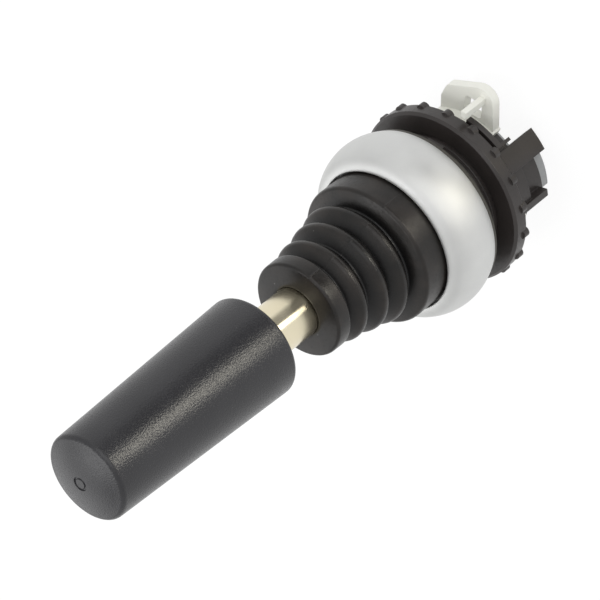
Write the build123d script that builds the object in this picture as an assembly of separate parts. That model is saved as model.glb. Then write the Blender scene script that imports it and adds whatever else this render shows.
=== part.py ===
from build123d import *
import os
from math import cos, radians, sqrt, tan

# Driving dimensions in mm: z = 0 is the front of the panel, +Z runs up the stick to the operator
TILT = 15.0
NECK_R = 11.0
NECK_END = -11.0
ROD_R = 4.0
GASKET_T = 0.95
BEZEL_TOP = 9.86
PIVOT_Z = 2.7
PANEL_GAP = 3.3
NUT_T = 2.8
NUB_COUNT = 19
GRIP_LOW = 39.7
GRIP_TOP = 76.0
GRIP_R_LOW = 8.2
GRIP_R_TOP = 7.1
GRIP_CROWN = 1.3
PIN_R = 0.9
CROSS_PIN_R = 1.0
STEM_R = 1.3
UNLOCK = 20.0

# Clearances
RUN = 0.04
PRESS = 0.01
SLIDE = 0.06
FREE = 0.3

# Radii that follow from the neck and the rod
BEZEL_R = NECK_R + 3.9
BEZEL_LIP_R = BEZEL_R - 3.04
FLANGE_R = NECK_R + 2.4
COLLAR_R = NECK_R + 1.6
BORE_R = NECK_R - 2.2
SHOULDER_R = BEZEL_LIP_R - 0.24
GASKET_R = BEZEL_R - 1.15
NUT_R = NECK_R + 3.6
TAB_R = NECK_R + 2.5
LEDGE_R = NECK_R + 3.4
PLATE_R = NECK_R + 2.0
POCKET_R = TAB_R - 1.0
BLOCK_R = NECK_R + FREE
LEVER_R = POCKET_R - FREE
GROOVE_R = NECK_R - 0.5
GATE_R = BORE_R + 1.4
GIMBAL_R = BORE_R - 0.6
PLUNGER_AT = BORE_R - 3.0
PLUG_R = BORE_R - 0.1
GUIDE_R = NECK_R - 0.6
RAIL_R = BLOCK_R - 0.1
WAIST_R = ROD_R - 1.0
THREAD_R = ROD_R - 1.0
INSERT_R = ROD_R + 0.9

# Heights that follow from the panel, the bezel and the pivot
BEZEL_LOW = GASKET_T + PRESS
FOOT_TOP = BEZEL_TOP - 0.96
COLLAR_TOP = FOOT_TOP - 1.0
FLANGE_TOP = GASKET_T + 3.45
GATE_LOW = COLLAR_TOP - 1.0
NUT_FRONT = -PANEL_GAP
NUT_BACK = NUT_FRONT - NUT_T
ADAPTER_FRONT = NUT_BACK - 0.2
ADAPTER_PLATE = ADAPTER_FRONT - 1.0
RING_FRONT = ADAPTER_PLATE - 0.15
RING_BACK = RING_FRONT - 1.4
BLOCK_FRONT = RING_BACK - 0.2
LEDGE_END = ADAPTER_PLATE - 0.2
TOOTH_END = LEDGE_END - 2.0
LUG_END = BLOCK_FRONT - 3.5
WALL_END = BLOCK_FRONT - 4.15
TAB_END = BLOCK_FRONT - 5.6
PADDLE_FRONT = BLOCK_FRONT - 0.55
PADDLE_BACK = PADDLE_FRONT - 1.6
HOOK_FRONT = NUT_BACK + 1.1
GROOVE_TOP = RING_FRONT - 0.25
GROOVE_LOW = RING_BACK + 0.25
GIMBAL_HALF = 1.9
HUB_TOP = PIVOT_Z - 3.7
HUB_LOW = HUB_TOP - 1.3
BALL_R = 0.9
BALL_Z = PIVOT_Z - 5.0
PLUNGER_TOP = BALL_Z - BALL_R - 0.02
HEAD_LOW = PLUNGER_TOP - 1.4
PLUG_TOP = NECK_END + 1.8
GUIDE_END = NECK_END - 0.8
STEM_END = GUIDE_END - 1.4
RAIL_END = GUIDE_END - 3.6
WAIST_LOW = BEZEL_TOP - 0.6
WAIST_TOP = BEZEL_TOP + 15.4
INSERT_LOW = GRIP_LOW + 6.3
INSERT_TOP = INSERT_LOW + 12.0

# Openings that the tilted rod needs
LEAN = tan(radians(TILT))
ROD_ACROSS = ROD_R / cos(radians(TILT))
GATE_HALF = ROD_ACROSS + (COLLAR_TOP - PIVOT_Z) * LEAN + 0.17
SLOT_HALF_W = ROD_R + FREE
SLOT_HALF_L = ROD_ACROSS + GIMBAL_HALF * LEAN + 0.55

# Folds of the bellows: drop in radius from its shoulder, rise in height above the bezel
VALLEYS = ((2.67, 5.14), (3.52, 8.99), (4.17, 12.69), (4.67, 16.69))
RIDGES = ((1.52, 7.09), (2.47, 10.84), (3.12, 14.64))
TIP_RISE = 20.44

# Corners of the lever's paddle: across, out from the neck, rounding
PADDLE = ((-5.7, 2.2, 0.5), (-4.8, 4.6, 0.8), (0.9, 7.2, 1.2), (3.75, 7.2, 2.4))

TOOTH_ANGLES = (30, 150, 270)
AXES = {"px": 0, "py": 90, "nx": 180, "ny": 270}


def turned(outline):
    """A solid turned about Z from a closed outline of (radius, height) curves."""
    return revolve(Plane.XZ * make_face(outline), axis=Axis.Z)


def turned_points(*points):
    return turned(Polyline(*points, close=True))


def disc(radius, low, high):
    return Pos(0, 0, low) * Cylinder(radius, high - low, align=(Align.CENTER, Align.CENTER, Align.MIN))


def tube(outer, inner, low, high):
    return turned_points((inner, low), (outer, low), (outer, high), (inner, high))


def sector(outer, inner, low, high, start, end):
    """A slice of a tube between two angles."""
    face = Plane.XZ * make_face(Polyline((inner, low), (outer, low), (outer, high), (inner, high), close=True))
    return Rot(0, 0, start) * revolve(face, axis=Axis.Z, revolution_arc=end - start)


def bar_x(radius, start, end, height):
    """A round bar along X at one height."""
    return Pos(start, 0, height) * Rot(0, 90, 0) * Cylinder(
        radius, end - start, align=(Align.CENTER, Align.CENTER, Align.MIN)
    )


def bar_y(radius, half, height):
    return Pos(0, 0, height) * Rot(90, 0, 0) * Cylinder(radius, 2 * half)


# Handle, its threaded insert and the rod
def make_grip():
    edge = 0.8
    rim_r = GRIP_R_TOP - edge
    rim_z = GRIP_TOP + 0.12
    rise = GRIP_TOP + GRIP_CROWN - rim_z
    dome_r = (rim_r**2 + rise**2) / (2 * rise)
    half_way = GRIP_TOP + GRIP_CROWN - dome_r + sqrt(dome_r**2 - (rim_r / 2) ** 2)
    side = Line((GRIP_R_LOW, GRIP_LOW + edge), (GRIP_R_TOP, GRIP_TOP - edge))
    shoulder = ThreePointArc(side @ 1, (GRIP_R_TOP - 0.22, GRIP_TOP - 0.2), (rim_r, rim_z))
    crown = ThreePointArc(shoulder @ 1, (rim_r / 2, half_way), (0, GRIP_TOP + GRIP_CROWN))
    cavity = Polyline(
        (0, GRIP_TOP + GRIP_CROWN),
        (0, INSERT_TOP + 1.0),
        (INSERT_R + PRESS, INSERT_TOP + 1.0),
        (INSERT_R + PRESS, INSERT_LOW),
        (ROD_R + SLIDE, INSERT_LOW),
        (ROD_R + SLIDE, GRIP_LOW),
        (GRIP_R_LOW - edge, GRIP_LOW),
        (GRIP_R_LOW - edge / 4, GRIP_LOW + edge / 4),
        (GRIP_R_LOW, GRIP_LOW + edge),
    )
    return turned(Curve() + [side, shoulder, crown, cavity])


def make_insert():
    groove = 0.35
    middle = (INSERT_LOW + INSERT_TOP) / 2
    return turned_points(
        (THREAD_R + PRESS, INSERT_LOW),
        (INSERT_R, INSERT_LOW),
        (INSERT_R, middle - 1.0),
        (INSERT_R - groove, middle - 0.6),
        (INSERT_R - groove, middle + 0.6),
        (INSERT_R, middle + 1.0),
        (INSERT_R, INSERT_TOP),
        (THREAD_R + PRESS, INSERT_TOP),
    )


def make_rod():
    spigot_r = 2.0
    edge = 0.4
    body = turned_points(
        (0, HUB_LOW + 0.1),
        (spigot_r, HUB_LOW + 0.1),
        (spigot_r, HUB_TOP),
        (ROD_R - edge, HUB_TOP),
        (ROD_R, HUB_TOP + edge),
        (ROD_R, WAIST_LOW),
        (WAIST_R, WAIST_LOW + 1.0),
        (WAIST_R, WAIST_TOP - 1.0),
        (ROD_R, WAIST_TOP),
        (ROD_R, INSERT_LOW),
        (THREAD_R, INSERT_LOW),
        (THREAD_R, INSERT_TOP - 0.9),
        (THREAD_R - 0.5, INSERT_TOP - 0.4),
        (0, INSERT_TOP - 0.4),
    )
    body -= bar_y(CROSS_PIN_R + PRESS, ROD_R + 1, PIVOT_Z)
    return body - disc(1.0 + PRESS, HUB_LOW - 0.5, HUB_LOW + 3.4)


# Rubber bellows: a foot clamped under the bezel, a straight shoulder, three folds and a tip that grips the rod
def make_bellows():
    wall = 0.9
    land = 0.35
    hole_r = ROD_R + SLIDE
    tip_z = BEZEL_TOP + TIP_RISE
    tip_r = SHOULDER_R - 3.72
    lip_r = SHOULDER_R - wall - 1.2
    valleys = [(SHOULDER_R - drop, BEZEL_TOP + rise) for drop, rise in VALLEYS]
    ridges = [(SHOULDER_R - drop, BEZEL_TOP + rise) for drop, rise in RIDGES]
    outside = [
        (lip_r, COLLAR_TOP),
        (COLLAR_R, COLLAR_TOP),
        (COLLAR_R, FOOT_TOP),
        (SHOULDER_R, FOOT_TOP),
        (SHOULDER_R, BEZEL_TOP + 2.6),
        (SHOULDER_R - 0.4, BEZEL_TOP + 3.5),
        (SHOULDER_R - 1.3, BEZEL_TOP + 4.0),
    ]
    for (valley_r, valley_z), (ridge_r, ridge_z) in zip(valleys, ridges):
        outside += [(valley_r, valley_z), (ridge_r, ridge_z - land), (ridge_r, ridge_z + land)]
    outside += [
        valleys[-1],
        (tip_r, tip_z - 2.8),
        (tip_r, tip_z - 1.0),
        (tip_r - 0.55, tip_z - 0.3),
        (hole_r + 0.55, tip_z),
        (hole_r, tip_z - 0.2),
        (hole_r, tip_z - 2.4),
        (hole_r + 1.2, tip_z - 2.9),
    ]
    inside = []
    for valley, ridge in zip(reversed(valleys[1:]), reversed(ridges)):
        inside += [(valley[0] - wall, valley[1]), (ridge[0] - wall, ridge[1])]
    inside += [
        (valleys[0][0] - wall, valleys[0][1]),
        (SHOULDER_R - wall - 0.7, BEZEL_TOP + 3.2),
        (SHOULDER_R - wall, BEZEL_TOP + 2.3),
        (SHOULDER_R - wall, FOOT_TOP),
        (lip_r, FOOT_TOP - 0.4),
    ]
    return turned_points(*outside, *inside)


# Bezel, panel gasket and the gate plate that limits the stick
def make_bezel():
    seat_r = COLLAR_R + 0.1
    skirt_r = FLANGE_R + 0.05
    cap = Polyline(
        (BEZEL_LIP_R, FOOT_TOP),
        (seat_r, FOOT_TOP),
        (seat_r, FLANGE_TOP),
        (skirt_r, FLANGE_TOP),
        (skirt_r, BEZEL_LOW),
        (BEZEL_R - 0.98, BEZEL_LOW),
    )
    brow_z = BEZEL_TOP - 1.22
    belly = ThreePointArc(cap @ 1, (BEZEL_R, (BEZEL_LOW + brow_z) / 2), (BEZEL_R - 1.0, brow_z))
    shoulder = ThreePointArc(belly @ 1, (BEZEL_R - 1.7, BEZEL_TOP - 0.44), (BEZEL_LIP_R + 0.3, BEZEL_TOP))
    rim = Polyline(shoulder @ 1, (BEZEL_LIP_R, BEZEL_TOP - 0.12), (BEZEL_LIP_R, FOOT_TOP))
    return turned(Curve() + [cap, belly, shoulder, rim])


def make_gasket():
    edge = 0.3
    body = turned_points(
        (NECK_R + 0.1, 0),
        (GASKET_R - edge, 0),
        (GASKET_R, edge),
        (GASKET_R, GASKET_T),
        (NECK_R + 0.1, GASKET_T),
    )
    return body - Pos(0, NECK_R, 0) * Box(3.4, 3.0, 4)


def make_gate():
    plate = disc(GATE_R, GATE_LOW, COLLAR_TOP)
    opening = extrude(RectangleRounded(2 * GATE_HALF, 2 * GATE_HALF, 3.0), amount=COLLAR_TOP - GATE_LOW + 2)
    return plate - Pos(0, 0, GATE_LOW - 1) * opening


# Housing: flange, collar and the 22 mm neck with its key and the bayonet groove
def make_housing():
    key_depth = 1.6
    body = turned_points(
        (BORE_R, NECK_END),
        (NECK_R, NECK_END),
        (NECK_R, GROOVE_LOW),
        (GROOVE_R, GROOVE_LOW),
        (GROOVE_R, GROOVE_TOP),
        (NECK_R, GROOVE_TOP),
        (NECK_R, GASKET_T),
        (FLANGE_R, GASKET_T),
        (FLANGE_R, FLANGE_TOP),
        (COLLAR_R, FLANGE_TOP),
        (COLLAR_R, COLLAR_TOP),
        (GATE_R + SLIDE, COLLAR_TOP),
        (GATE_R + SLIDE, GATE_LOW),
        (BORE_R, GATE_LOW),
    )
    key = Pos(0, NECK_R, (GASKET_T - key_depth) / 2) * Box(3.0, 2.4, GASKET_T + key_depth)
    body += key - disc(NECK_R - 0.3, -5, 5)
    for angle in TOOTH_ANGLES:
        way_in = angle + UNLOCK
        body -= sector(NECK_R + 1, GROOVE_R, NECK_END - 1, GROOVE_TOP, way_in - 7.5, way_in + 7.5)
    for side in (0, 180):
        body -= Rot(0, 0, side) * bar_x(PIN_R + PRESS, BORE_R - 1, FLANGE_R + 1, PIVOT_Z)
    return body


# Gimbal and the pins it turns on
def make_gimbal_ring():
    bevel = 0.3
    body = turned_points(
        (0, PIVOT_Z - GIMBAL_HALF),
        (GIMBAL_R - bevel, PIVOT_Z - GIMBAL_HALF),
        (GIMBAL_R, PIVOT_Z - GIMBAL_HALF + bevel),
        (GIMBAL_R, PIVOT_Z + GIMBAL_HALF - bevel),
        (GIMBAL_R - bevel, PIVOT_Z + GIMBAL_HALF),
        (0, PIVOT_Z + GIMBAL_HALF),
    )
    slot = extrude(SlotOverall(2 * SLOT_HALF_L, 2 * SLOT_HALF_W), amount=4 * GIMBAL_HALF)
    body -= Pos(0, 0, PIVOT_Z - 2 * GIMBAL_HALF) * slot
    body -= bar_x(PIN_R + RUN, -GIMBAL_R - 1, GIMBAL_R + 1, PIVOT_Z)
    return body - bar_y(CROSS_PIN_R + RUN, GIMBAL_R + 1, PIVOT_Z)


def make_gimbal_pins():
    pin = bar_x(PIN_R, SLOT_HALF_L + 0.7, FLANGE_R - 0.6, PIVOT_Z)
    return [pin, Rot(0, 0, 180) * pin]


# Actuator cross under the gimbal, with ball tips that press the plungers
def make_actuator():
    body = tube(3.0, 2.0 + PRESS, HUB_LOW, HUB_TOP)
    for angle in AXES.values():
        arm = Pos((2.6 + PLUNGER_AT) / 2, 0, BALL_Z + 0.45) * Box(PLUNGER_AT - 2.6, 1.5, 0.9)
        ball = Pos(PLUNGER_AT, 0, BALL_Z) * Sphere(BALL_R)
        body += Rot(0, 0, angle) * (arm + ball)
    return body


def make_actuator_washer():
    return tube(2.2, 1.0 + RUN, HUB_LOW - 0.4, HUB_LOW)


def make_actuator_screw():
    head_top = HUB_LOW - 0.4
    body = disc(1.7, head_top - 1.1, head_top) + disc(1.0, head_top, HUB_LOW + 3.0)
    socket = extrude(RegularPolygon(0.75, 6), amount=0.6)
    return body - Pos(0, 0, head_top - 1.1) * socket


# Plungers, their springs and the guide that closes the neck
def make_plunger(angle):
    body = turned_points(
        (0, STEM_END),
        (STEM_R - 0.3, STEM_END),
        (STEM_R, STEM_END + 0.3),
        (STEM_R, HEAD_LOW),
        (2.0, HEAD_LOW),
        (2.0, PLUNGER_TOP - 0.3),
        (1.7, PLUNGER_TOP),
        (0, PLUNGER_TOP),
    )
    return Rot(0, 0, angle) * Pos(PLUNGER_AT, 0, 0) * body


def make_spring(angle):
    wire = 0.36
    low = PLUG_TOP + wire / 2 + 0.04
    length = HEAD_LOW - PLUG_TOP - wire - 0.08
    path = Helix(pitch=length / 3.5, height=length, radius=1.76)
    section = Plane(origin=path @ 0, x_dir=(1, 0, 0), z_dir=path % 0) * Rectangle(wire, wire)
    coil = sweep(section, path=path, is_frenet=True)
    return Rot(0, 0, angle) * Pos(PLUNGER_AT, 0, low) * coil


def make_guide():
    body = disc(GUIDE_R, GUIDE_END, NECK_END) + disc(PLUG_R, NECK_END, PLUG_TOP)
    for side in (0, 180):
        body += sector(RAIL_R, GUIDE_R - 0.2, RAIL_END, NECK_END, side + 8, side + 38)
    for angle in AXES.values():
        body -= Rot(0, 0, angle) * Pos(PLUNGER_AT, 0, 0) * disc(STEM_R + SLIDE, GUIDE_END - 1, PLUG_TOP + 1)
    return body - disc(2.2, GUIDE_END - 1, GUIDE_END + 1.2)


# Fixing ring behind the panel, with rounded nubs round its rear half
def make_fixing_ring():
    bevel = 0.4
    body = turned_points(
        (NECK_R + SLIDE, NUT_BACK),
        (NUT_R - bevel, NUT_BACK),
        (NUT_R, NUT_BACK + bevel),
        (NUT_R, NUT_FRONT - bevel),
        (NUT_R - bevel, NUT_FRONT),
        (NECK_R + SLIDE, NUT_FRONT),
    )
    nub = disc(0.9, NUT_BACK + 0.05, NUT_BACK + 1.15)
    for place in PolarLocations(NUT_R - 0.5, NUB_COUNT, start_angle=0.5):
        body += place * nub
    return body


# Mounting adapter: the lever's ring turns between its plate and the blocks on its two sides
def make_adapter():
    body = tube(PLATE_R, NECK_R + SLIDE, ADAPTER_PLATE, ADAPTER_FRONT)
    root = ADAPTER_FRONT - 0.2
    half = sector(POCKET_R - 0.5, BLOCK_R, WALL_END, BLOCK_FRONT, 11, 42)
    half += sector(PLATE_R, POCKET_R, BLOCK_FRONT - FREE, root, 10, 59.7)
    for start, end, low in ((39.3, 55.5, TAB_END), (10, 15, LUG_END)):
        half += sector(TAB_R, POCKET_R, low, root, start, end)
        half += sector(TAB_R, BLOCK_R, low, BLOCK_FRONT, start, end)
    half += sector(LEDGE_R, POCKET_R, LEDGE_END, root, 57.5, 84)
    half += sector(LEDGE_R, LEDGE_R - 1.0, TOOTH_END, root, 57.5, 59.7)
    return body + half + Rot(0, 0, 180) * half


def make_lever():
    bore_r = NECK_R + 0.08
    body = tube(LEVER_R, bore_r, RING_BACK, RING_FRONT)
    for angle in TOOTH_ANGLES:
        body += sector(NECK_R + 0.5, GROOVE_R + 0.1, GROOVE_LOW + 0.1, GROOVE_TOP - 0.1, angle - 6, angle + 6)
    outline = make_face(
        Polyline(
            (-5.6, NECK_R - 0.2),
            *[(x, NECK_R + out) for x, out, rounding in PADDLE],
            (4.3, NECK_R - 0.4),
            close=True,
        )
    )
    for x, out, rounding in PADDLE:
        outline = fillet(outline.vertices().sort_by_distance((x, NECK_R + out))[0], rounding)
    outline -= Pos(0.3, NECK_R + 3.1) * RectangleRounded(3.2, 3.0, 0.6)
    outline -= Circle(bore_r)
    body += sector(LEVER_R, bore_r, PADDLE_BACK, RING_FRONT, 68, 118)
    body += Pos(0, 0, PADDLE_BACK) * extrude(outline, amount=PADDLE_FRONT - PADDLE_BACK)
    hook = Pos(1.9, NECK_R + 5.4, (HOOK_FRONT + PADDLE_BACK) / 2) * Box(1.0, 1.1, HOOK_FRONT - PADDLE_BACK)
    return body + hook


os.makedirs("parts", exist_ok=True)

nodes = {
    "handle_grip": make_grip(),
    "grip_insert": make_insert(),
    "stick_rod": make_rod(),
    "bellows": make_bellows(),
    "bezel": make_bezel(),
    "panel_gasket": make_gasket(),
    "gate_plate": make_gate(),
    "operator_housing": make_housing(),
    "gimbal_ring": make_gimbal_ring(),
    "gimbal_pins": Compound(children=make_gimbal_pins()),
    "cross_pin": bar_y(CROSS_PIN_R, GIMBAL_R - 0.6, PIVOT_Z),
    "actuator_cross": make_actuator(),
    "actuator_washer": make_actuator_washer(),
    "actuator_screw": make_actuator_screw(),
    "plunger_guide": make_guide(),
    "fixing_ring": make_fixing_ring(),
    "mounting_adapter": make_adapter(),
    "locking_lever": make_lever(),
}
for name, angle in AXES.items():
    nodes["plunger_" + name] = make_plunger(angle)
    nodes["plunger_spring_" + name] = make_spring(angle)

for name, shape in nodes.items():
    export_step(shape, f"parts/{name}.step")
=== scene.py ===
import math

import bpy
from bpy.props import FloatProperty, FloatVectorProperty, IntProperty, PointerProperty
from mathutils import Matrix, Vector


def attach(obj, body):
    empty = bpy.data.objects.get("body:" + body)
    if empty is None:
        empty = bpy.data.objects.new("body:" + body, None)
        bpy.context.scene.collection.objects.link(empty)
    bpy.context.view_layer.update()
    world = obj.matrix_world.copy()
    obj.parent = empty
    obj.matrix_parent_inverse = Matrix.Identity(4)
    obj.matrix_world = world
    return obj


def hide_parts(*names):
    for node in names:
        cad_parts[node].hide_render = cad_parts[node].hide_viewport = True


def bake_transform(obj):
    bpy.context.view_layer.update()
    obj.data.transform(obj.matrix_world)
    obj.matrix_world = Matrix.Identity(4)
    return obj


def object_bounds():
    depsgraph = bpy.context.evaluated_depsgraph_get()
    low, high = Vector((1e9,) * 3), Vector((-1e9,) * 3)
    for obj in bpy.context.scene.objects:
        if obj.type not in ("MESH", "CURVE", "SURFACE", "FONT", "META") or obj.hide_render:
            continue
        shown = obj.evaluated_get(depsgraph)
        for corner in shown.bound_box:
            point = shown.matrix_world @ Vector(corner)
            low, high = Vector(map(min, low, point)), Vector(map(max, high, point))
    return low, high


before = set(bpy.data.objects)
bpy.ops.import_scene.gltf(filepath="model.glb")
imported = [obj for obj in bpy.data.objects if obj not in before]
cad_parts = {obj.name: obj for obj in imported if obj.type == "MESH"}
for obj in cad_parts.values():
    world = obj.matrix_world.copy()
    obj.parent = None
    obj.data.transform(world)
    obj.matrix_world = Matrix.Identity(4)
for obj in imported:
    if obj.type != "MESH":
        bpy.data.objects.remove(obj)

bl_info = {
    "name": "Panel joystick dresser",
    "version": (1, 0, 0),
    "blender": (4, 5, 0),
    "location": "View3D > Sidebar > Joystick",
    "description": "Dresses the packed joystick with its finishes, bellows and studio",
    "category": "Object",
}

CAD_BOX = [list(corner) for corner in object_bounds()]
MM = 0.001
BLACK_PIECES = ("operator_housing", "fixing_ring", "mounting_adapter")
STEEL_PIECES = ("gate_plate", "gimbal_ring", "gimbal_pins", "cross_pin", "actuator_washer", "actuator_screw")
COMPASS = ("px", "py", "nx", "ny")

# Camera axes and place in the part's frame, from the fit to the photograph
CAMERA_RIGHT = Vector((0.7661, 0.0364, -0.6417))
CAMERA_UP = Vector((-0.4622, 0.7249, -0.5107))
CAMERA_BACK = Vector((0.4466, 0.6878, 0.5722))
CAMERA_PLACE = Vector((0.2734, 0.4229, 0.3798))
AIM = Vector((0.0, 0.0, 0.030))


# Shared shader groups: grain, tone, turning marks, fold rims and dust
def start_group(name, inputs, outputs):
    group = bpy.data.node_groups.new(name, "ShaderNodeTree")
    for label, kind, default in inputs:
        socket = group.interface.new_socket(name=label, in_out="INPUT", socket_type=kind)
        socket.default_value = default
    for label, kind in outputs:
        group.interface.new_socket(name=label, in_out="OUTPUT", socket_type=kind)
    entry = group.nodes.new("NodeGroupInput")
    exit_node = group.nodes.new("NodeGroupOutput")
    return group, entry, exit_node


def math_node(nodes, links, operation, first, second):
    """A Math node fed by sockets or plain numbers; gives back its output."""
    node = nodes.new("ShaderNodeMath")
    node.operation = operation
    for socket, value in zip(node.inputs, (first, second)):
        if isinstance(value, float):
            socket.default_value = value
        else:
            links.new(value, socket)
    return node.outputs[0]


def grain_group():
    """Fine moulded grain: a height for bump and a mask of the small pits."""
    name = "Moulded grain"
    if name in bpy.data.node_groups:
        return bpy.data.node_groups[name]
    group, entry, exit_node = start_group(
        name,
        [("Grain Scale", "NodeSocketFloat", 5000.0), ("Pit Share", "NodeSocketFloat", 0.5)],
        [("Height", "NodeSocketFloat"), ("Pits", "NodeSocketFloat")],
    )
    nodes, links = group.nodes, group.links
    place = nodes.new("ShaderNodeTexCoord")
    fine = nodes.new("ShaderNodeTexNoise")
    fine.inputs["Detail"].default_value = 3.0
    fine.inputs["Roughness"].default_value = 0.62
    cells = nodes.new("ShaderNodeTexVoronoi")
    join = nodes.new("ShaderNodeMix")
    join.inputs["Factor"].default_value = 0.45
    ramp = nodes.new("ShaderNodeMapRange")
    ramp.inputs["From Max"].default_value = 0.75
    links.new(place.outputs["Object"], fine.inputs["Vector"])
    links.new(place.outputs["Object"], cells.inputs["Vector"])
    links.new(entry.outputs["Grain Scale"], fine.inputs["Scale"])
    links.new(entry.outputs["Grain Scale"], cells.inputs["Scale"])
    links.new(fine.outputs["Fac"], join.inputs["A"])
    links.new(cells.outputs["Distance"], join.inputs["B"])
    links.new(join.outputs["Result"], exit_node.inputs["Height"])
    links.new(join.outputs["Result"], ramp.inputs["Value"])
    links.new(entry.outputs["Pit Share"], ramp.inputs["From Min"])
    links.new(ramp.outputs["Result"], exit_node.inputs["Pits"])
    return group


def tone_group():
    """Slow change of tone over a moulded or plated face."""
    name = "Slow tone"
    if name in bpy.data.node_groups:
        return bpy.data.node_groups[name]
    group, entry, exit_node = start_group(
        name,
        [
            ("Tone Scale", "NodeSocketFloat", 160.0),
            ("Low", "NodeSocketColor", (0.0, 0.0, 0.0, 1.0)),
            ("High", "NodeSocketColor", (1.0, 1.0, 1.0, 1.0)),
        ],
        [("Color", "NodeSocketColor"), ("Cloud", "NodeSocketFloat")],
    )
    nodes, links = group.nodes, group.links
    place = nodes.new("ShaderNodeTexCoord")
    cloud = nodes.new("ShaderNodeTexNoise")
    cloud.inputs["Detail"].default_value = 5.0
    spread = nodes.new("ShaderNodeMapRange")
    spread.inputs["From Min"].default_value = 0.3
    spread.inputs["From Max"].default_value = 0.7
    blend = nodes.new("ShaderNodeMix")
    blend.data_type = "RGBA"
    links.new(place.outputs["Object"], cloud.inputs["Vector"])
    links.new(entry.outputs["Tone Scale"], cloud.inputs["Scale"])
    links.new(cloud.outputs["Fac"], spread.inputs["Value"])
    links.new(spread.outputs["Result"], blend.inputs["Factor"])
    links.new(entry.outputs["Low"], blend.inputs["A"])
    links.new(entry.outputs["High"], blend.inputs["B"])
    links.new(blend.outputs["Result"], exit_node.inputs["Color"])
    links.new(spread.outputs["Result"], exit_node.inputs["Cloud"])
    return group


def turning_group():
    """Faint rings left by turning, along the stick's axis."""
    name = "Turning marks"
    if name in bpy.data.node_groups:
        return bpy.data.node_groups[name]
    group, entry, exit_node = start_group(
        name,
        [("Ring Scale", "NodeSocketFloat", 3000.0)],
        [("Height", "NodeSocketFloat")],
    )
    nodes, links = group.nodes, group.links
    place = nodes.new("ShaderNodeTexCoord")
    flat = nodes.new("ShaderNodeMapping")
    flat.inputs["Scale"].default_value = (0.02, 0.02, 1.0)
    rings = nodes.new("ShaderNodeTexNoise")
    rings.inputs["Detail"].default_value = 2.0
    links.new(place.outputs["Object"], flat.inputs["Vector"])
    links.new(flat.outputs["Vector"], rings.inputs["Vector"])
    links.new(entry.outputs["Ring Scale"], rings.inputs["Scale"])
    links.new(rings.outputs["Fac"], exit_node.inputs["Height"])
    return group


def fold_group():
    """Where folded rubber stands proud: 1 on the rims, the shoulder and the tip, 0 in the grooves, which keep
    a darker colour as painted shade.
    """
    name = "Fold rims"
    if name in bpy.data.node_groups:
        return bpy.data.node_groups[name]
    group, entry, exit_node = start_group(
        name,
        [
            ("Rim Radius", "NodeSocketFloat", 0.0137),
            ("Taper", "NodeSocketFloat", 0.212),
            ("Depth", "NodeSocketFloat", 0.0016),
            ("Tip Height", "NodeSocketFloat", 0.0298),
        ],
        [("Rims", "NodeSocketFloat")],
    )
    nodes, links = group.nodes, group.links
    place = nodes.new("ShaderNodeTexCoord")
    flat = nodes.new("ShaderNodeMapping")
    flat.inputs["Scale"].default_value = (1.0, 1.0, 0.0)
    radius = nodes.new("ShaderNodeVectorMath")
    radius.operation = "LENGTH"
    split = nodes.new("ShaderNodeSeparateXYZ")
    links.new(place.outputs["Object"], flat.inputs["Vector"])
    links.new(flat.outputs["Vector"], radius.inputs[0])
    links.new(place.outputs["Object"], split.inputs["Vector"])
    fall = math_node(nodes, links, "MULTIPLY", split.outputs["Z"], entry.outputs["Taper"])
    rim = math_node(nodes, links, "SUBTRACT", entry.outputs["Rim Radius"], fall)
    groove = math_node(nodes, links, "SUBTRACT", rim, entry.outputs["Depth"])
    tip = math_node(nodes, links, "GREATER_THAN", split.outputs["Z"], entry.outputs["Tip Height"])
    proud = nodes.new("ShaderNodeMapRange")
    proud.interpolation_type = "SMOOTHSTEP"
    links.new(radius.outputs["Value"], proud.inputs["Value"])
    links.new(groove, proud.inputs["From Min"])
    links.new(rim, proud.inputs["From Max"])
    links.new(math_node(nodes, links, "MAXIMUM", proud.outputs["Result"], tip), exit_node.inputs["Rims"])
    return group


def dust_group():
    """A few small specks, on some of the cells only."""
    name = "Dust specks"
    if name in bpy.data.node_groups:
        return bpy.data.node_groups[name]
    group, entry, exit_node = start_group(
        name,
        [
            ("Cell Scale", "NodeSocketFloat", 700.0),
            ("Speck Size", "NodeSocketFloat", 0.1),
            ("Bare Share", "NodeSocketFloat", 0.93),
        ],
        [("Specks", "NodeSocketFloat")],
    )
    nodes, links = group.nodes, group.links
    place = nodes.new("ShaderNodeTexCoord")
    cells = nodes.new("ShaderNodeTexVoronoi")
    split = nodes.new("ShaderNodeSeparateColor")
    links.new(place.outputs["Object"], cells.inputs["Vector"])
    links.new(entry.outputs["Cell Scale"], cells.inputs["Scale"])
    links.new(cells.outputs["Color"], split.inputs["Color"])
    chosen = math_node(nodes, links, "GREATER_THAN", split.outputs["Red"], entry.outputs["Bare Share"])
    close = math_node(nodes, links, "LESS_THAN", cells.outputs["Distance"], entry.outputs["Speck Size"])
    links.new(math_node(nodes, links, "MULTIPLY", chosen, close), exit_node.inputs["Specks"])
    return group


def lighter(colour, share):
    return tuple(min(1.0, c * share) for c in colour) + (1.0,)


def new_material(name):
    material = bpy.data.materials.new(name)
    material.use_nodes = True
    tree = material.node_tree
    return material, tree.nodes, tree.links, tree.nodes["Principled BSDF"]


def place_group(nodes, group):
    node = nodes.new("ShaderNodeGroup")
    node.node_tree = group
    return node


def add_bump(nodes, links, height, shader, strength, distance, edge=0.0):
    bump = nodes.new("ShaderNodeBump")
    bump.inputs["Strength"].default_value = strength
    bump.inputs["Distance"].default_value = distance
    if edge > 0.0:
        soft = nodes.new("ShaderNodeBevel")
        soft.samples = 6
        soft.inputs["Radius"].default_value = edge
        links.new(soft.outputs["Normal"], bump.inputs["Normal"])
    links.new(height, bump.inputs["Height"])
    links.new(bump.outputs["Normal"], shader.inputs["Normal"])


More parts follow.
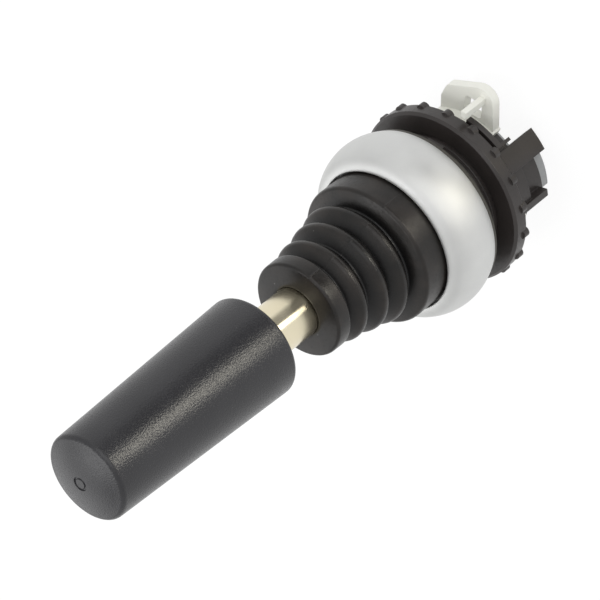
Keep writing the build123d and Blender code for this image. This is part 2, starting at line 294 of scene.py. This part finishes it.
def moulded(
    name, colour, roughness, grain_scale, grain_depth, spread=0.18, specular=0.5, tone_scale=160.0, edge=0.0
):
    """A moulded plastic or rubber, with slow tone, fine grain and edges softened by a radius."""
    material, nodes, links, shader = new_material(name)
    tone = place_group(nodes, tone_group())
    tone.inputs["Tone Scale"].default_value = tone_scale
    tone.inputs["Low"].default_value = lighter(colour, 1.0 - spread)
    tone.inputs["High"].default_value = lighter(colour, 1.0 + spread)
    grain = place_group(nodes, grain_group())
    grain.inputs["Grain Scale"].default_value = grain_scale
    rough = nodes.new("ShaderNodeMapRange")
    rough.inputs["To Min"].default_value = roughness - 0.06
    rough.inputs["To Max"].default_value = roughness + 0.08
    links.new(tone.outputs["Color"], shader.inputs["Base Color"])
    links.new(grain.outputs["Pits"], rough.inputs["Value"])
    links.new(rough.outputs["Result"], shader.inputs["Roughness"])
    shader.inputs["Specular IOR Level"].default_value = specular
    add_bump(nodes, links, grain.outputs["Height"], shader, 1.0, grain_depth, edge)
    return material


def plated(name, colour, roughness, grain_scale, grain_depth, turned=False):
    """A plated or bare metal, with turning marks or a satin grain."""
    material, nodes, links, shader = new_material(name)
    tone = place_group(nodes, tone_group())
    tone.inputs["Tone Scale"].default_value = 220.0
    tone.inputs["Low"].default_value = lighter(colour, 0.96)
    tone.inputs["High"].default_value = lighter(colour, 1.04)
    rough = nodes.new("ShaderNodeMapRange")
    rough.inputs["To Min"].default_value = roughness - 0.04
    rough.inputs["To Max"].default_value = roughness + 0.05
    links.new(tone.outputs["Color"], shader.inputs["Base Color"])
    links.new(tone.outputs["Cloud"], rough.inputs["Value"])
    links.new(rough.outputs["Result"], shader.inputs["Roughness"])
    shader.inputs["Metallic"].default_value = 1.0
    if turned:
        marks = place_group(nodes, turning_group())
        marks.inputs["Ring Scale"].default_value = grain_scale
    else:
        marks = place_group(nodes, grain_group())
        marks.inputs["Grain Scale"].default_value = grain_scale
    add_bump(nodes, links, marks.outputs["Height"], shader, 1.0, grain_depth)
    return material


# Meshes turned about the stick's axis, from outlines of (radius, height) in millimetres
def arc(start, through, end, steps):
    """Points on the circle through three points, without the first one."""
    (ax, ay), (bx, by), (cx, cy) = start, through, end
    d = 2 * (ax * (by - cy) + bx * (cy - ay) + cx * (ay - by))
    a2, b2, c2 = ax * ax + ay * ay, bx * bx + by * by, cx * cx + cy * cy
    ux = (a2 * (by - cy) + b2 * (cy - ay) + c2 * (ay - by)) / d
    uy = (a2 * (cx - bx) + b2 * (ax - cx) + c2 * (bx - ax)) / d
    first = math.atan2(ay - uy, ax - ux)
    middle = (math.atan2(by - uy, bx - ux) - first) % math.tau
    last = (math.atan2(cy - uy, cx - ux) - first) % math.tau
    if middle > last:
        last -= math.tau
    radius = math.hypot(ax - ux, ay - uy)
    turn = [first + last * i / steps for i in range(1, steps + 1)]
    return [(ux + radius * math.cos(t), uy + radius * math.sin(t)) for t in turn]


def eased(*corners):
    """An outline through (radius, height, rounding) corners, each rounded off by its own radius."""
    points = []
    for i, (radius, height, rounding) in enumerate(corners):
        if rounding == 0.0:
            points.append((radius, height))
            continue
        here = Vector((radius, height))
        before = (Vector(corners[i - 1][:2]) - here).normalized()
        after = (Vector(corners[i + 1][:2]) - here).normalized()
        half = before.angle(after) / 2
        reach = rounding / math.tan(half)
        inward = (before + after).normalized()
        through = here + inward * (rounding / math.sin(half) - rounding)
        start = here + before * reach
        points.append(tuple(start))
        points += arc(tuple(start), tuple(through), tuple(here + after * reach), 6)
    return points


def even_angles(count):
    return [math.tau * i / count for i in range(count)]


def turned_piece(name, outline, angles, material, raised=None):
    """A closed solid of revolution. raised(angle, point number) lifts a point outwards, in millimetres."""
    verts, faces, rings = [], [], []
    for number, (radius, height) in enumerate(outline):
        if radius < 1e-6:
            rings.append([len(verts)])
            verts.append((0.0, 0.0, height * MM))
            continue
        row = []
        for angle in angles:
            r = (radius + (raised(angle, number) if raised else 0.0)) * MM
            row.append(len(verts))
            verts.append((r * math.cos(angle), r * math.sin(angle), height * MM))
        rings.append(row)
    count = len(angles)
    for lower, upper in zip(rings, rings[1:] + rings[:1]):
        if len(lower) == 1 and len(upper) == 1:
            continue
        for i in range(count):
            j = (i + 1) % count
            if len(lower) == 1:
                faces.append((lower[0], upper[j], upper[i]))
            elif len(upper) == 1:
                faces.append((lower[i], lower[j], upper[0]))
            else:
                faces.append((lower[i], lower[j], upper[j], upper[i]))
    return shown_piece(name, verts, faces, material)


def swept_piece(name, rings, material):
    """A closed solid through rings of points, in millimetres, with a flat cap at each end."""
    width = len(rings[0])
    verts = [tuple(Vector(point) * MM) for ring in rings for point in ring]
    faces = []
    for i in range(len(rings) - 1):
        for k in range(width):
            a, b = i * width + k, i * width + (k + 1) % width
            faces.append((a, b, b + width, a + width))
    faces.append(tuple(range(width - 1, -1, -1)))
    faces.append(tuple((len(rings) - 1) * width + k for k in range(width)))
    return shown_piece(name, verts, faces, material)


def shown_piece(name, verts, faces, material):
    mesh = bpy.data.meshes.new(name)
    mesh.from_pydata(verts, [], faces)
    mesh.validate()
    mesh.shade_smooth()
    mesh.set_sharp_from_angle(angle=math.radians(32))
    mesh.materials.append(material)
    piece = bpy.data.objects.new(name, mesh)
    bpy.context.scene.collection.objects.link(piece)
    return piece


def dress_node(name, material):
    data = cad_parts[name].data
    data.materials.clear()
    data.materials.append(material)


# Sizes and colours that a user would change
class JoystickGripSettings(bpy.types.PropertyGroup):
    low_radius: FloatProperty(
        name="Low radius", description="Radius at the rod end", default=8.2 * MM, unit="LENGTH"
    )
    top_radius: FloatProperty(
        name="Top radius", description="Radius at the free end", default=7.1 * MM, unit="LENGTH"
    )
    colour: FloatVectorProperty(
        name="Grip colour", description="Moulded plastic", subtype="COLOR", default=(0.0268, 0.0264, 0.0296)
    )
    grain_depth: FloatProperty(
        name="Grain depth", description="Height of the grain", default=0.047 * MM, unit="LENGTH"
    )


class JoystickRodSettings(bpy.types.PropertyGroup):
    colour: FloatVectorProperty(
        name="Plating colour", description="Nickel plating", subtype="COLOR", default=(0.84, 0.765, 0.57)
    )


class JoystickBellowsSettings(bpy.types.PropertyGroup):
    # The grooves keep the darker colour as painted shade; the rims, the shoulder and the tip take the paler
    # one.
    colour: FloatVectorProperty(
        name="Rubber colour",
        description="Black rubber in the grooves",
        subtype="COLOR",
        default=(0.005, 0.0047, 0.0048),
    )
    rims_over_painted_shade: FloatVectorProperty(
        name="Rim colour over painted shade",
        description="Rubber on the rims",
        subtype="COLOR",
        default=(0.0158, 0.0147, 0.0139),
    )
    scuffed: FloatVectorProperty(
        name="Scuff colour",
        description="Brownish rubbed patches",
        subtype="COLOR",
        default=(0.028, 0.0232, 0.0202),
    )
    dust: FloatVectorProperty(
        name="Dust colour", description="Small specks of dust", subtype="COLOR", default=(0.13, 0.125, 0.12)
    )
    flash_height: FloatProperty(
        name="Flash height",
        description="Height of the mould's parting line",
        default=0.055 * MM,
        unit="LENGTH",
    )
    flash_angle: FloatProperty(
        name="Flash angle",
        description="Where the parting line runs",
        default=math.radians(77),
        subtype="ANGLE",
    )
    steps: IntProperty(name="Steps", description="Faces round the bellows", default=144, min=48, max=360)


class JoystickBezelSettings(bpy.types.PropertyGroup):
    colour: FloatVectorProperty(
        name="Bezel colour", description="Satin silver", subtype="COLOR", default=(0.735, 0.74, 0.73)
    )
    roughness: FloatProperty(
        name="Bezel roughness", description="Satin finish", default=0.55, subtype="FACTOR"
    )


class JoystickRearSettings(bpy.types.PropertyGroup):
    black: FloatVectorProperty(
        name="Black plastic",
        description="Housing, ring and adapter",
        subtype="COLOR",
        default=(0.036, 0.0305, 0.0285),
    )
    white: FloatVectorProperty(
        name="Lever colour", description="White plastic", subtype="COLOR", default=(0.9, 0.9, 0.83)
    )
    grey: FloatVectorProperty(
        name="Guide colour", description="Grey plastic", subtype="COLOR", default=(0.42, 0.43, 0.43)
    )
    gasket: FloatVectorProperty(
        name="Gasket colour", description="Soft seal", subtype="COLOR", default=(0.05, 0.046, 0.036)
    )
    edge: FloatProperty(
        name="Edge radius", description="Softened moulded edges", default=0.16 * MM, unit="LENGTH"
    )
    thread_pitch: FloatProperty(
        name="Thread pitch", description="Neck thread", default=0.75 * MM, unit="LENGTH"
    )


class JoystickStageSettings(bpy.types.PropertyGroup):
    floor: FloatVectorProperty(
        name="Floor colour", description="Pale floor", subtype="COLOR", default=(0.9, 0.9, 0.9)
    )
    # Colour of the glowing band painted into the floor, which glossy faces show as a painted reflection; it
    # is no lamp.
    strip: FloatVectorProperty(
        name="Strip colour",
        description="Strip light in the reflections",
        subtype="COLOR",
        default=(1.0, 0.955, 0.83),
    )
    key_power: FloatProperty(name="Key light", description="Main soft light", default=0.5, unit="POWER")
    top_power: FloatProperty(
        name="Top light", description="Soft light over the grip's end", default=0.8, unit="POWER"
    )
    back_power: FloatProperty(
        name="Back light", description="Sheen on the faces turned up", default=0.5, unit="POWER"
    )
    sky: FloatProperty(name="Sky", description="Even light from all round", default=0.68)
    lens: FloatProperty(name="Lens", description="Focal length in millimetres", default=252.0)


class JOYSTICK_OT_grip(bpy.types.Operator):
    """Make the tapered grip with its crowned end and the small ring left by the mould's gate"""

    bl_idname = "joystick.grip"
    bl_label = "Grip"

    # Heights and radii in millimetres
    FOOT = 39.7
    SHOULDER = 76.0
    CROWN = 77.3
    EDGE = 0.8
    BULGE = 0.22
    BORE = 4.06
    POCKET = 4.91
    POCKET_FOOT = 46.0
    POCKET_TOP = 59.0
    RING = 1.1
    RING_INSIDE = 0.86
    RING_DEPTH = 0.2

    def execute(self, context):
        given = context.scene.joystick_grip
        material = moulded("grip_plastic", given.colour, 0.32, 4000.0, given.grain_depth, 0.1)
        outline = self.outline(given.low_radius / MM, given.top_radius / MM)
        grip = turned_piece("grip_body", outline, even_angles(160), material)
        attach(grip, "stick")
        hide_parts("handle_grip")
        return {"FINISHED"}

    def outline(self, low, top):
        """The side with its rounded rims, the crowned end with its ring, and the pocket for the insert."""
        rim = (top - self.EDGE, self.SHOULDER + 0.12)
        rise = self.CROWN - rim[1]
        dome = (rim[0] ** 2 + rise**2) / (2 * rise)

        def crown(radius, sunk=0.0):
            return (radius, self.CROWN - dome + math.sqrt(dome**2 - radius**2) - sunk)

        side_low, side_top = self.FOOT + self.EDGE, self.SHOULDER - self.EDGE
        points = [(self.BORE, self.FOOT), (low - self.EDGE, self.FOOT)]
        points += arc(points[-1], (low - self.BULGE, self.FOOT + self.BULGE), (low, side_low), 6)
        points += [(low + (top - low) * i / 8, side_low + (side_top - side_low) * i / 8) for i in range(1, 9)]
        points += arc(points[-1], (top - self.BULGE, self.SHOULDER - 0.2), rim, 8)
        points += [crown(radius) for radius in (5.4, 4.5, 3.6, 2.7, 2.0, 1.5, 1.18)]
        points += [crown(self.RING, self.RING_DEPTH), crown(self.RING_INSIDE, self.RING_DEPTH)]
        points += [crown(0.78, 0.03), crown(0.0, 0.05)]
        points += [(0.0, self.POCKET_TOP), (self.POCKET, self.POCKET_TOP)]
        points += [(self.POCKET, self.POCKET_FOOT), (self.BORE, self.POCKET_FOOT)]
        return points


class JOYSTICK_OT_rod(bpy.types.Operator):
    """Give the rod its plating and the insert hidden in the grip its brass"""

    bl_idname = "joystick.rod"
    bl_label = "Rod"

    def execute(self, context):
        given = context.scene.joystick_rod
        nickel = plated("rod_nickel", given.colour, 0.2, 2600.0, 0.001 * MM, turned=True)
        self.spread_along_axis(nickel, 0.9)
        dress_node("stick_rod", nickel)
        brass = plated("insert_brass", (0.72, 0.52, 0.22), 0.32, 2400.0, 0.006 * MM, turned=True)
        dress_node("grip_insert", brass)
        return {"FINISHED"}

    def spread_along_axis(self, material, amount):
        """Turned metal spreads what it mirrors along the axis, across its rings."""
        nodes, links = material.node_tree.nodes, material.node_tree.links
        round_axis = nodes.new("ShaderNodeTangent")
        round_axis.direction_type = "RADIAL"
        round_axis.axis = "Z"
        shader = nodes["Principled BSDF"]
        shader.inputs["Anisotropic"].default_value = amount
        shader.inputs["Anisotropic Rotation"].default_value = 0.25
        links.new(round_axis.outputs["Tangent"], shader.inputs["Tangent"])


class JOYSTICK_OT_bellows(bpy.types.Operator):
    """Make the bellows in two halves, which meet between its first two folds"""

    bl_idname = "joystick.bellows"
    bl_label = "Bellows"

    # Lengths in millimetres, points as (radius, height)
    SPLIT = (8.1, 18.85)
    SPLIT_LINING = (7.5, 18.85)
    FLASH_WIDTH = 0.12

    def execute(self, context):
        given = context.scene.joystick_bellows
        material = self.rubber(given)
        angles = self.flash_angles(given)
        lower_skin = eased(
            (12.6, 7.9, 0.0),
            (12.6, 8.9, 0.0),
            (11.56, 8.9, 0.0),
            (11.66, 14.1, 0.7),
            (8.3, 15.15, 0.35),
            (10.62, 16.95, 0.95),
            (*self.SPLIT, 0.0),
        )
        lower_lining = [self.SPLIT_LINING, (9.1, 16.95), (7.4, 15.1), (10.3, 13.4)]
        lower_lining += [(10.72, 12.6), (10.62, 8.9), (9.52, 8.5), (9.52, 7.9)]
        lower = self.half("bellows_lower", lower_skin, lower_lining, angles, material, given)
        upper_skin = eased(
            (*self.SPLIT, 0.0),
            (9.71, 20.7, 0.95),
            (6.9, 22.6, 0.3),
            (9.04, 24.5, 0.95),
            (6.4, 26.5, 0.3),
            (7.92, 27.3, 0.5),
            (7.88, 29.95, 0.55),
            (4.7, 30.28, 0.0),
            (4.35, 30.26, 0.0),
            (4.06, 30.1, 0.0),
        )
        upper_lining = [(4.06, 27.9), (5.2, 27.4), (5.5, 26.5), (7.55, 24.5)]
        upper_lining += [(6.0, 22.6), (8.2, 20.7), self.SPLIT_LINING]
        upper = self.half("bellows_upper", upper_skin, upper_lining, angles, material, given)
        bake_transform(lower)
        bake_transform(upper)
        for half in (lower, upper):
            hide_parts("bellows")
        return {"FINISHED"}

    def rubber(self, given):
        """Black rubber with painted shade: darker in the grooves, paler on the rims, the shoulder and the
        tip.
        """
        material = moulded("bellows_rubber", given.colour, 0.36, 2600.0, 0.012 * MM, 0.22, 0.36, 120.0)
        nodes, links = material.node_tree.nodes, material.node_tree.links
        shader = nodes["Principled BSDF"]
        folds = place_group(nodes, fold_group())
        scuffs = place_group(nodes, tone_group())
        scuffs.inputs["Tone Scale"].default_value = 260.0
        scuffs.inputs["Low"].default_value = lighter(given.rims_over_painted_shade, 0.7)
        scuffs.inputs["High"].default_value = (*given.scuffed, 1.0)
        dust = place_group(nodes, dust_group())
        plain = shader.inputs["Base Color"].links[0].from_socket
        # Painted shade: the darker colour stays in the grooves, the paler one covers the rims, the shoulder
        # and the tip.
        rims_over_painted_shade = self.over(nodes, links, folds.outputs["Rims"], plain)
        links.new(scuffs.outputs["Color"], rims_over_painted_shade.inputs["B"])
        dusty = self.over(nodes, links, dust.outputs["Specks"], rims_over_painted_shade.outputs["Result"])
        dusty.inputs["B"].default_value = (*given.dust, 1.0)
        links.new(dusty.outputs["Result"], shader.inputs["Base Color"])
        return material

    def over(self, nodes, links, mask, below):
        """A colour mix whose second colour covers the first where the mask is 1."""
        mix = nodes.new("ShaderNodeMix")
        mix.data_type = "RGBA"
        links.new(mask, mix.inputs["Factor"])
        links.new(below, mix.inputs["A"])
        return mix

    def flash_angles(self, given):
        """Even angles, with closer ones where the parting line runs on both sides."""
        angles = even_angles(given.steps)
        for side in (0.0, math.pi):
            for away in (-1.8, -1.1, -0.7, -0.35, 0.0, 0.35, 0.7, 1.1, 1.8):
                angles.append((given.flash_angle + side + math.radians(away)) % math.tau)
        angles.sort()
        return [a for a, b in zip(angles, angles[1:] + [angles[0] + math.tau]) if b - a > 1e-4]

    def half(self, name, skin, lining, angles, material, given):
        """One half of the bellows, with the parting line raised on its skin."""
        height = given.flash_height / MM

        def raised(angle, number):
            if number >= len(skin) or skin[number] == self.SPLIT:
                return 0.0
            turn = (angle - given.flash_angle + math.pi / 2) % math.pi - math.pi / 2
            across = turn * skin[number][0] / self.FLASH_WIDTH
            return height * math.exp(-across * across)

        return turned_piece(name, skin + lining, angles, material, raised)


class JOYSTICK_OT_bezel(bpy.types.Operator):
    """Make the satin bezel ring and dress the gasket behind it"""

    bl_idname = "joystick.bezel"
    bl_label = "Bezel and gasket"

    def execute(self, context):
        given = context.scene.joystick_bezel
        rear = context.scene.joystick_rear
        satin = plated("bezel_silver", given.colour, given.roughness, 3800.0, 0.008 * MM)
        outline = [(13.92, 0.96)]
        outline += arc(outline[-1], (14.9, 4.8), (13.9, 8.64), 24)
        outline += arc(outline[-1], (13.2, 9.42), (12.16, 9.86), 10)
        outline += [(11.98, 9.83), (11.86, 9.72), (11.86, 8.9), (12.7, 8.9)]
        outline += [(12.7, 4.4), (13.45, 4.4), (13.45, 0.96)]
        bezel = turned_piece("bezel_ring", outline, even_angles(224), satin)
        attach(bezel, "housing")
        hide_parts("bezel")
        dress_node("panel_gasket", moulded("gasket_rubber", rear.gasket, 0.55, 2200.0, 0.02 * MM, 0.2))
        return {"FINISHED"}


class JOYSTICK_OT_rear(bpy.types.Operator):
    """Dress the housing, fixing ring, adapter and guide, and add the neck's thread"""

    bl_idname = "joystick.rear"
    bl_label = "Rear pieces"

    def execute(self, context):
        given = context.scene.joystick_rear
        black = moulded("housing_black", given.black, 0.38, 2400.0, 0.016 * MM, 0.2, edge=given.edge)
        for name in BLACK_PIECES:
            dress_node(name, black)
        grey = moulded("guide_grey", given.grey, 0.45, 2400.0, 0.014 * MM, 0.06, edge=given.edge)
        dress_node("plunger_guide", grey)
        self.thread(given.thread_pitch / MM, black)
        return {"FINISHED"}

    def thread(self, pitch, material):
        """One helical ridge on the neck, over the stretch that a panel leaves open."""
        steps, turns = 96, 3.6
        root, crest = 10.95, 11.1
        start = -0.35
        section = ((root, 0.3), (crest, 0.08), (crest, -0.08), (root, -0.3))
        rings = []
        for i in range(int(steps * turns) + 1):
            angle = math.tau * i / steps
            x, y = math.cos(angle), math.sin(angle)
            drop = start - pitch * i / steps
            rings.append([(r * x, r * y, drop + rise * pitch) for r, rise in section])
        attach(swept_piece("neck_thread", rings, material), "housing")


class JOYSTICK_OT_lever(bpy.types.Operator):
    """Dress the white locking lever"""

    bl_idname = "joystick.lever"
    bl_label = "Locking lever"

    def execute(self, context):
        given = context.scene.joystick_rear
        white = moulded("lever_white", given.white, 0.38, 2000.0, 0.01 * MM, 0.03, edge=given.edge)
        dress_node("locking_lever", white)
        return {"FINISHED"}


class JOYSTICK_OT_mechanism(bpy.types.Operator):
    """Dress the gimbal, pins, actuator, plungers and springs inside the neck"""

    bl_idname = "joystick.mechanism"
    bl_label = "Mechanism"

    # Lengths in millimetres
    PLUNGER_AT = 5.8
    COIL = 1.76
    WIRE = 0.18
    SPRING_ENDS = (-9.2, -4.62)

    def execute(self, context):
        steel = plated("inner_steel", (0.55, 0.55, 0.56), 0.3, 2400.0, 0.006 * MM)
        wire = plated("spring_steel", (0.6, 0.6, 0.6), 0.25, 2600.0, 0.004 * MM)
        acetal = moulded("acetal_natural", (0.8, 0.8, 0.76), 0.35, 2000.0, 0.008 * MM, 0.03)
        for name in STEEL_PIECES:
            dress_node(name, steel)
        dress_node("actuator_cross", acetal)
        for number, side in enumerate(COMPASS):
            dress_node("plunger_" + side, acetal)
            self.coil(side, number * math.pi / 2, wire)
        return {"FINISHED"}

    def coil(self, side, bearing, material):
        """A wire coil round one plunger, between the guide and the plunger's head."""
        low, high, turns, steps = -8.98, -4.84, 3.5, 28
        up = Vector((0.0, 0.0, 1.0))
        middle = Vector((self.PLUNGER_AT * math.cos(bearing), self.PLUNGER_AT * math.sin(bearing), 0.0))
        rings = []
        for i in range(int(turns * steps) + 1):
            angle = bearing + math.tau * i / steps
            out = Vector((math.cos(angle), math.sin(angle), 0.0))
            heart = middle + out * self.COIL + up * (low + (high - low) * i / (turns * steps))
            rings.append([heart + (out * math.cos(a) + up * math.sin(a)) * self.WIRE for a in even_angles(8)])
        spring = swept_piece("spring_coil_" + side, rings, material)
        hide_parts("plunger_spring_" + side)
        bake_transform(spring)


class JOYSTICK_OT_stage(bpy.types.Operator):
    """Lay the floor, hang the lights and place the camera at the photograph's angle"""

    bl_idname = "joystick.stage"
    bl_label = "Stage"

    # Painted reflections on the floor, seen only by glossy rays: a glowing band as a painted highlight and a
    # dark patch beside it as painted shade; bearings in radians, distances in metres
    PAINTED_STRIP_BEARING = -0.15
    FAR_PAINTED_STRIP = (0.096, 0.106, 0.18, 0.21)
    FAR_PAINTED_GLOW = 11.5
    NEAR_PAINTED_STRIP = (0.044, 0.05, 0.056, 0.062)
    NEAR_PAINTED_GLOW = 5.0
    PAINTED_SHADE_BEARING = (-0.06, 0.06, 0.55, 0.95)
    PAINTED_SHADE_REACH = (0.052, 0.06, 0.2, 0.25)
    PAINTED_SHADE_DEPTH = 0.92
    FLOOR_LEVEL = 0.95

    # The floor's level for the camera, and the share of its look that glows
    CAMERA_LEVEL = 1.06
    GLOW_SHARE = 0.86

    def execute(self, context):
        given = context.scene.joystick_stage
        scene = context.scene
        self.floor(given)
        self.world(scene, given.sky)
        self.lamp("key_light", AIM + 0.5 * CAMERA_BACK + 0.12 * CAMERA_UP, 0.5, given.key_power)
        self.lamp("top_light", AIM + Vector((-0.1, -0.02, 0.5)), 0.4, given.top_power)
        self.lamp("back_light", AIM + Vector((-0.31, -0.35, 0.34)), 0.6, given.back_power)
        camera_data = bpy.data.cameras.new("photo_camera")
        camera_data.lens = given.lens
        camera_data.sensor_width = 36.0
        camera_data.clip_start = 0.01
        camera_data.clip_end = 20.0
        camera = bpy.data.objects.new("photo_camera", camera_data)
        scene.collection.objects.link(camera)
        turn = Matrix((CAMERA_RIGHT, CAMERA_UP, CAMERA_BACK)).transposed().to_4x4()
        camera.matrix_world = Matrix.Translation(CAMERA_PLACE) @ turn
        scene.camera = camera
        scene.view_settings.view_transform = "Standard"
        return {"FINISHED"}

    def floor(self, given):
        """A pale one-sided floor just under the part. For glossy rays it also glows with a painted band of
        light and a painted dark patch, which glossy faces show as painted reflections.
        """
        low = CAD_BOX[0][2] - 0.02 * MM
        size = 6.0
        mesh = bpy.data.meshes.new("floor")
        corners = [(-size, -size, low), (size, -size, low), (size, size, low), (-size, size, low)]
        mesh.from_pydata(corners, [], [(0, 1, 2, 3)])
        floor = bpy.data.objects.new("floor", mesh)
        bpy.context.scene.collection.objects.link(floor)
        material, nodes, links, shader = new_material("floor_paper")
        shader.inputs["Base Color"].default_value = (*given.floor, 1.0)
        shader.inputs["Roughness"].default_value = 0.9
        glow = nodes.new("ShaderNodeEmission")
        seen = nodes.new("ShaderNodeLightPath")
        camera, through = seen.outputs["Is Camera Ray"], seen.outputs["Is Transmission Ray"]
        either = math_node(nodes, links, "MAXIMUM", camera, through)
        shown = math_node(nodes, links, "MAXIMUM", either, seen.outputs["Is Glossy Ray"])
        share = math_node(nodes, links, "MULTIPLY", shown, self.GLOW_SHARE)
        mix = nodes.new("ShaderNodeMixShader")
        links.new(share, mix.inputs["Fac"])
        links.new(shader.outputs["BSDF"], mix.inputs[1])
        links.new(glow.outputs["Emission"], mix.inputs[2])
        clear = nodes.new("ShaderNodeBsdfTransparent")
        face = nodes.new("ShaderNodeNewGeometry")
        one_sided = nodes.new("ShaderNodeMixShader")
        links.new(face.outputs["Backfacing"], one_sided.inputs["Fac"])
        links.new(mix.outputs["Shader"], one_sided.inputs[1])
        links.new(clear.outputs["BSDF"], one_sided.inputs[2])
        links.new(one_sided.outputs["Shader"], nodes["Material Output"].inputs["Surface"])
        painted_reflection_level, strip = self.painted_reflections(nodes, links)
        level = nodes.new("ShaderNodeMix")
        links.new(either, level.inputs["Factor"])
        links.new(painted_reflection_level, level.inputs["A"])
        level.inputs["B"].default_value = self.CAMERA_LEVEL
        links.new(level.outputs["Result"], glow.inputs["Strength"])
        # Glossy rays see the painted glowing band in a warm tint.
        warm = nodes.new("ShaderNodeMix")
        warm.data_type = "RGBA"
        warm.inputs["A"].default_value = (1.0, 1.0, 1.0, 1.0)
        warm.inputs["B"].default_value = (*given.strip, 1.0)
        warmth = math_node(nodes, links, "MULTIPLY", strip, seen.outputs["Is Glossy Ray"])
        links.new(warmth, warm.inputs["Factor"])
        links.new(warm.outputs["Result"], glow.inputs["Color"])
        mesh.materials.append(material)

    def painted_reflections(self, nodes, links):
        """The floor's glow for glossy rays: an even pale level, a long glowing band painted in as a reflected
        highlight, and a dark patch beside it painted in as shade; no lamp or card stands there.
        """
        place = nodes.new("ShaderNodeTexCoord")
        turn = nodes.new("ShaderNodeMapping")
        turn.vector_type = "TEXTURE"
        turn.inputs["Rotation"].default_value = (0.0, 0.0, math.atan2(CAMERA_BACK.y, CAMERA_BACK.x))
        split = nodes.new("ShaderNodeSeparateXYZ")
        links.new(place.outputs["Object"], turn.inputs["Vector"])
        links.new(turn.outputs["Vector"], split.inputs["Vector"])
        out = split.outputs["X"]
        bearing = math_node(nodes, links, "ARCTAN2", split.outputs["Y"], out)
        turned = math_node(nodes, links, "SUBTRACT", bearing, self.PAINTED_STRIP_BEARING)
        off_strip = math_node(nodes, links, "ABSOLUTE", turned, 0.0)
        # The glowing band painted into the floor for glossy rays: a painted highlight in the reflections.
        narrow = self.step(nodes, links, off_strip, 0.25, 0.08)
        far = self.between(nodes, links, out, *self.FAR_PAINTED_STRIP)
        far = math_node(nodes, links, "MULTIPLY", far, self.FAR_PAINTED_GLOW)
        near = self.between(nodes, links, out, *self.NEAR_PAINTED_STRIP)
        near = math_node(nodes, links, "MULTIPLY", near, self.NEAR_PAINTED_GLOW)
        strip = math_node(nodes, links, "MULTIPLY", narrow, math_node(nodes, links, "ADD", far, near))
        # The dark patch painted into the floor for glossy rays: painted shade in the reflections.
        painted_shade_patch = self.between(nodes, links, bearing, *self.PAINTED_SHADE_BEARING)
        reach = self.between(nodes, links, out, *self.PAINTED_SHADE_REACH)
        painted_shade_patch = math_node(nodes, links, "MULTIPLY", painted_shade_patch, reach)
        shade = math_node(nodes, links, "MULTIPLY", painted_shade_patch, self.PAINTED_SHADE_DEPTH)
        glow_with_painted_strip = math_node(nodes, links, "ADD", strip, self.FLOOR_LEVEL)
        return math_node(nodes, links, "SUBTRACT", glow_with_painted_strip, shade), narrow

    def between(self, nodes, links, value, low, start, end, high):
        """A soft window: 0 below low and above high, 1 from start to end."""
        rise = self.step(nodes, links, value, low, start)
        fall = self.step(nodes, links, value, high, end)
        return math_node(nodes, links, "MULTIPLY", rise, fall)

    def step(self, nodes, links, value, start, end):
        """A soft step from 0 at start to 1 at end."""
        node = nodes.new("ShaderNodeMapRange")
        node.interpolation_type = "SMOOTHSTEP"
        node.inputs["From Min"].default_value = start
        node.inputs["From Max"].default_value = end
        links.new(value, node.inputs["Value"])
        return node.outputs["Result"]

    def world(self, scene, strength):
        world = bpy.data.worlds.new("studio")
        scene.world = world
        world.use_nodes = True
        nodes, links = world.node_tree.nodes, world.node_tree.links
        seen = nodes.new("ShaderNodeLightPath")
        level = nodes.new("ShaderNodeMapRange")
        level.inputs["To Min"].default_value = strength
        level.inputs["To Max"].default_value = 1.0
        links.new(seen.outputs["Is Camera Ray"], level.inputs["Value"])
        nodes["Background"].inputs["Color"].default_value = (1.0, 1.0, 1.0, 1.0)
        links.new(level.outputs["Result"], nodes["Background"].inputs["Strength"])

    def lamp(self, name, place, size, power):
        data = bpy.data.lights.new(name, "AREA")
        data.shape = "DISK"
        data.size = size
        data.energy = power
        lamp = bpy.data.objects.new(name, data)
        bpy.context.scene.collection.objects.link(lamp)
        lamp.location = place
        lamp.rotation_euler = (AIM - place).to_track_quat("-Z", "Y").to_euler()


class JOYSTICK_PT_panel(bpy.types.Panel):
    """Lists the joystick's pieces"""

    bl_label = "Joystick"
    bl_idname = "JOYSTICK_PT_panel"
    bl_space_type = "VIEW_3D"
    bl_region_type = "UI"
    bl_category = "Joystick"

    def draw(self, context):
        for operator in OPERATORS:
            self.layout.operator(operator.bl_idname)


SETTINGS = {
    "joystick_grip": JoystickGripSettings,
    "joystick_rod": JoystickRodSettings,
    "joystick_bellows": JoystickBellowsSettings,
    "joystick_bezel": JoystickBezelSettings,
    "joystick_rear": JoystickRearSettings,
    "joystick_stage": JoystickStageSettings,
}
OPERATORS = (
    JOYSTICK_OT_grip,
    JOYSTICK_OT_rod,
    JOYSTICK_OT_bellows,
    JOYSTICK_OT_bezel,
    JOYSTICK_OT_rear,
    JOYSTICK_OT_lever,
    JOYSTICK_OT_mechanism,
    JOYSTICK_OT_stage,
)


def register():
    for group in SETTINGS.values():
        bpy.utils.register_class(group)
    for name, group in SETTINGS.items():
        setattr(bpy.types.Scene, name, PointerProperty(type=group))
    for operator in OPERATORS:
        bpy.utils.register_class(operator)
    bpy.utils.register_class(JOYSTICK_PT_panel)


def unregister():
    bpy.utils.unregister_class(JOYSTICK_PT_panel)
    for operator in reversed(OPERATORS):
        bpy.utils.unregister_class(operator)
    for name, group in reversed(SETTINGS.items()):
        delattr(bpy.types.Scene, name)
        bpy.utils.unregister_class(group)


def main():
    register()
    bpy.ops.joystick.grip()
    bpy.ops.joystick.rod()
    bpy.ops.joystick.bellows()
    bpy.ops.joystick.bezel()
    bpy.ops.joystick.rear()
    bpy.ops.joystick.lever()
    bpy.ops.joystick.mechanism()
    bpy.ops.joystick.stage()


if __name__ == "__main__":
    main()
